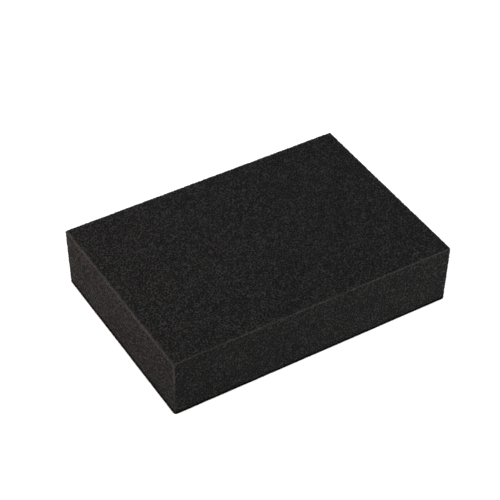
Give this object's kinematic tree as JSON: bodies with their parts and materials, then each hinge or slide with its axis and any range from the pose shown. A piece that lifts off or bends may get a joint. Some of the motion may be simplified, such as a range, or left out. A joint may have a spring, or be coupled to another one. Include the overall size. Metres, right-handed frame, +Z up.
{
  "type": "chalkboard eraser",
  "caption": "Plain rectangular block of fine open-cell foam, cut square on every side, for wiping chalk off a board by hand.",
  "frame": {"origin": "centre of the face that the block lies on", "axes": "+X along the block's length, +Y across its width, +Z up through its thickness"},
  "size_m": [0.14, 0.096, 0.03],
  "materials": {
    "foam": "matte charcoal open-cell foam, cut surface"
  },
  "bodies": {
    "root": {"foam_block": "foam"}
  },
  "joints": []
}
